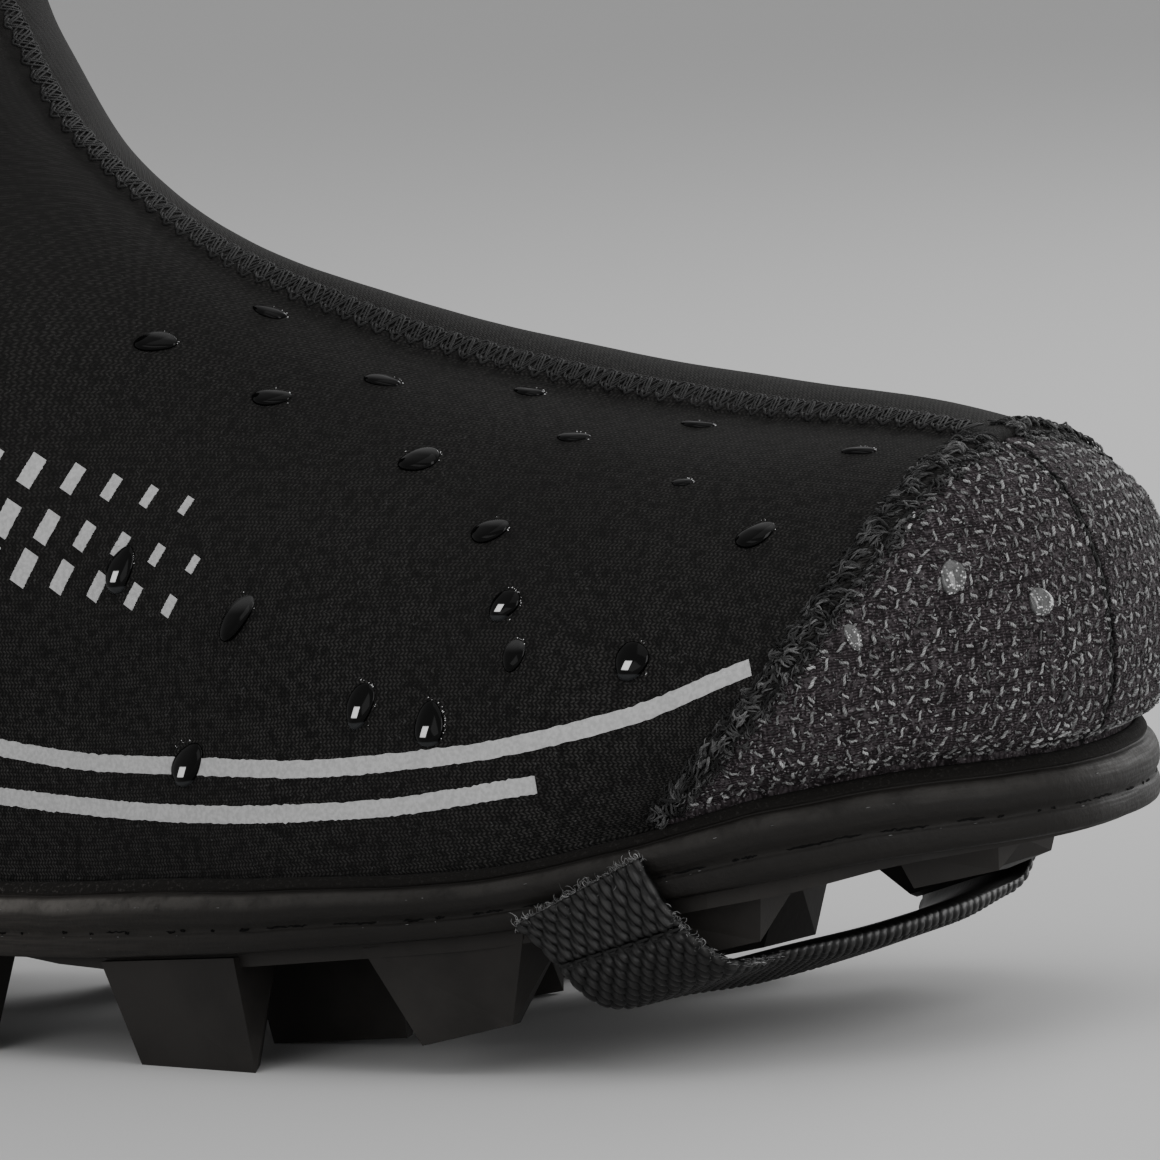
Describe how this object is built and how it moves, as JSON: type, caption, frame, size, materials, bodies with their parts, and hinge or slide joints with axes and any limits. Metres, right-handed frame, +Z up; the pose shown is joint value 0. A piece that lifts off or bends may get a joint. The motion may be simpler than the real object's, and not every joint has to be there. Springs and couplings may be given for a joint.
{
  "type": "cycling overshoe",
  "caption": "Black neoprene cycling overshoe for the right foot, with a raised centre seam, flecked toe cap, rubber rand and webbing toe strap, on a lugged rubber outsole.",
  "frame": {"origin": "centre of the bounding box, on the floor that the lugs stand on", "axes": "+X towards the toe, +Z up, -Y towards the outer side of the right foot"},
  "size_m": [0.2966, 0.1076, 0.1981],
  "materials": {
    "neoprene": "matt black knitted face on neoprene foam",
    "cap_textile": "hard-wearing dark grey textile with short light grey flecks",
    "rand_rubber": "moulded black rubber, soft sheen, slightly dusty",
    "sole_rubber": "moulded black rubber, matt",
    "felt": "dark grey fabric on foam",
    "webbing": "coarse black woven webbing"
  },
  "bodies": {
    "root": {"upper": "neoprene", "toe_cap": "cap_textile", "rand": "rand_rubber", "outsole": "sole_rubber", "insole": "felt", "strap": "webbing"}
  },
  "joints": []
}
